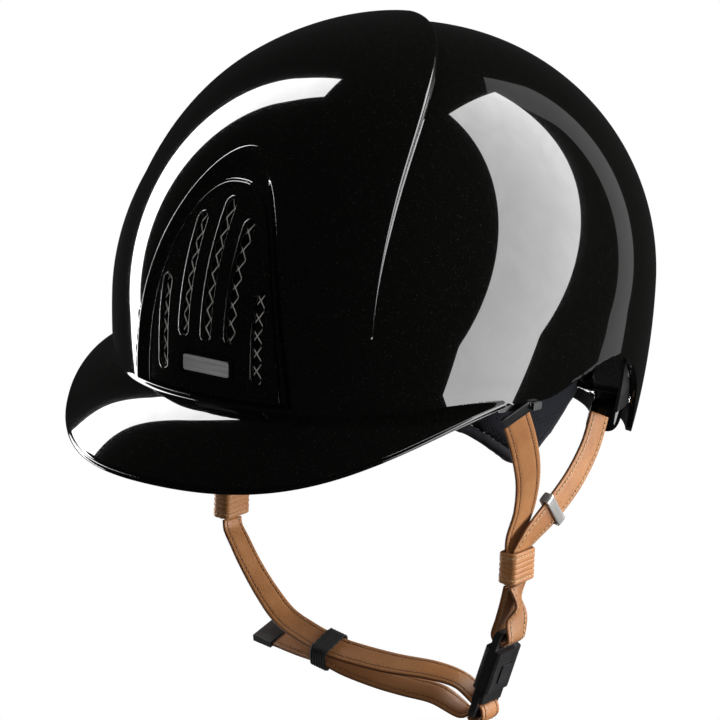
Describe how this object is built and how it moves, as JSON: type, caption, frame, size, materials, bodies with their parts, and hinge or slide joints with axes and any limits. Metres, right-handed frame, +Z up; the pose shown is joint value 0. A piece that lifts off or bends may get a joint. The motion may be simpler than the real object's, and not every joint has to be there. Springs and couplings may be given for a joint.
{
  "type": "equestrian riding helmet",
  "caption": "Domed gloss-black riding helmet with raised front cowl, arched slotted vent, short drooping peak and stitched tan leather harness with push-button buckle.",
  "frame": {"origin": "middle of the head opening, at brow height, where a head holds the helmet", "axes": "+Z up, -Y forward as the wearer faces, +X to the wearer's left"},
  "size_m": [0.218, 0.3095, 0.3136],
  "materials": {
    "gloss_black": "high-gloss lacquered black shell",
    "satin_black": "satin moulded black plastic",
    "screen_metal": "bright nickel expanded-metal screen",
    "brushed_plate": "satin brushed metal plate, plain",
    "foam": "dark expanded-polystyrene beads",
    "mesh_fabric": "black three-dimensional knitted mesh",
    "velvet": "black brushed velvet binding",
    "tan_leather": "stitched tan leather, lightly grained",
    "polished_steel": "polished nickel-plated slide",
    "steel": "plain steel rivet",
    "buckle_plastic": "satin black acetal buckle",
    "elastic": "black ribbed elastic"
  },
  "bodies": {
    "root": {"outer_shell": "gloss_black", "front_cowl": "gloss_black", "outlet_screen": "screen_metal", "peak": "gloss_black", "peak_clip_left": "satin_black", "peak_clip_right": "satin_black", "vent_insert": "gloss_black", "vent_screen": "screen_metal", "badge_holder": "gloss_black", "badge_plate": "brushed_plate", "impact_liner": "foam", "crown_pad": "mesh_fabric", "brow_pad": "mesh_fabric", "nape_pad": "mesh_fabric", "side_pad_left": "mesh_fabric", "side_pad_right": "mesh_fabric", "pad_binding_left": "velvet", "pad_binding_right": "velvet", "nape_guard": "gloss_black", "strap_buckle_loop": "tan_leather", "buckle_housing": "buckle_plastic", "strap_front_left": "tan_leather", "strap_rear_left": "tan_leather", "anchor_front_left": "satin_black", "rivet_front_left": "steel", "anchor_rear_left": "satin_black", "rivet_rear_left": "steel", "strap_front_right": "tan_leather", "strap_rear_right": "tan_leather", "anchor_front_right": "satin_black", "rivet_front_right": "steel", "anchor_rear_right": "satin_black", "rivet_rear_right": "steel"},
    "chin": {"chin_strap": "tan_leather", "strap_tip": "satin_black", "buckle_tongue": "buckle_plastic"},
    "elastic_loop": {"elastic_keeper": "elastic"},
    "button": {"release_button": "satin_black"},
    "slide_left": {"slide_left": "polished_steel"},
    "slide_right": {"slide_right": "polished_steel"},
    "keeper_left": {"keeper_left": "tan_leather"},
    "keeper_right": {"keeper_right": "tan_leather"}
  },
  "joints": [
    {"name": "chin_strap_open", "type": "hinge", "parent": "root", "child": "chin", "pos_m": [-0.0774, -0.013, -0.0934], "axis": [0, 1, 0], "range_deg": [0, 80]},
    {"name": "button_press", "type": "slide", "parent": "root", "child": "button", "axis": [-0.957, 0, 0.29], "range_m": [0, 0.0015], "stiffness_N_per_m": 400},
    {"name": "elastic_keeper_slide", "type": "slide", "parent": "chin", "child": "elastic_loop", "axis": [0.9796, 0.02, -0.1999], "range_m": [-0.001, 0.004]},
    {"name": "slide_left_adjust", "type": "slide", "parent": "root", "child": "slide_left", "axis": [-0.1699, -0.7496, -0.6397], "range_m": [-0.002, 0.002]},
    {"name": "slide_right_adjust", "type": "slide", "parent": "root", "child": "slide_right", "axis": [0.1699, -0.7496, -0.6397], "range_m": [-0.002, 0.002]},
    {"name": "keeper_left_adjust", "type": "slide", "parent": "root", "child": "keeper_left", "axis": [0, 0, 1], "range_m": [-0.0015, 0.0005]},
    {"name": "keeper_right_adjust", "type": "slide", "parent": "root", "child": "keeper_right", "axis": [0, 0, 1], "range_m": [-0.0015, 0.0005]}
  ]
}
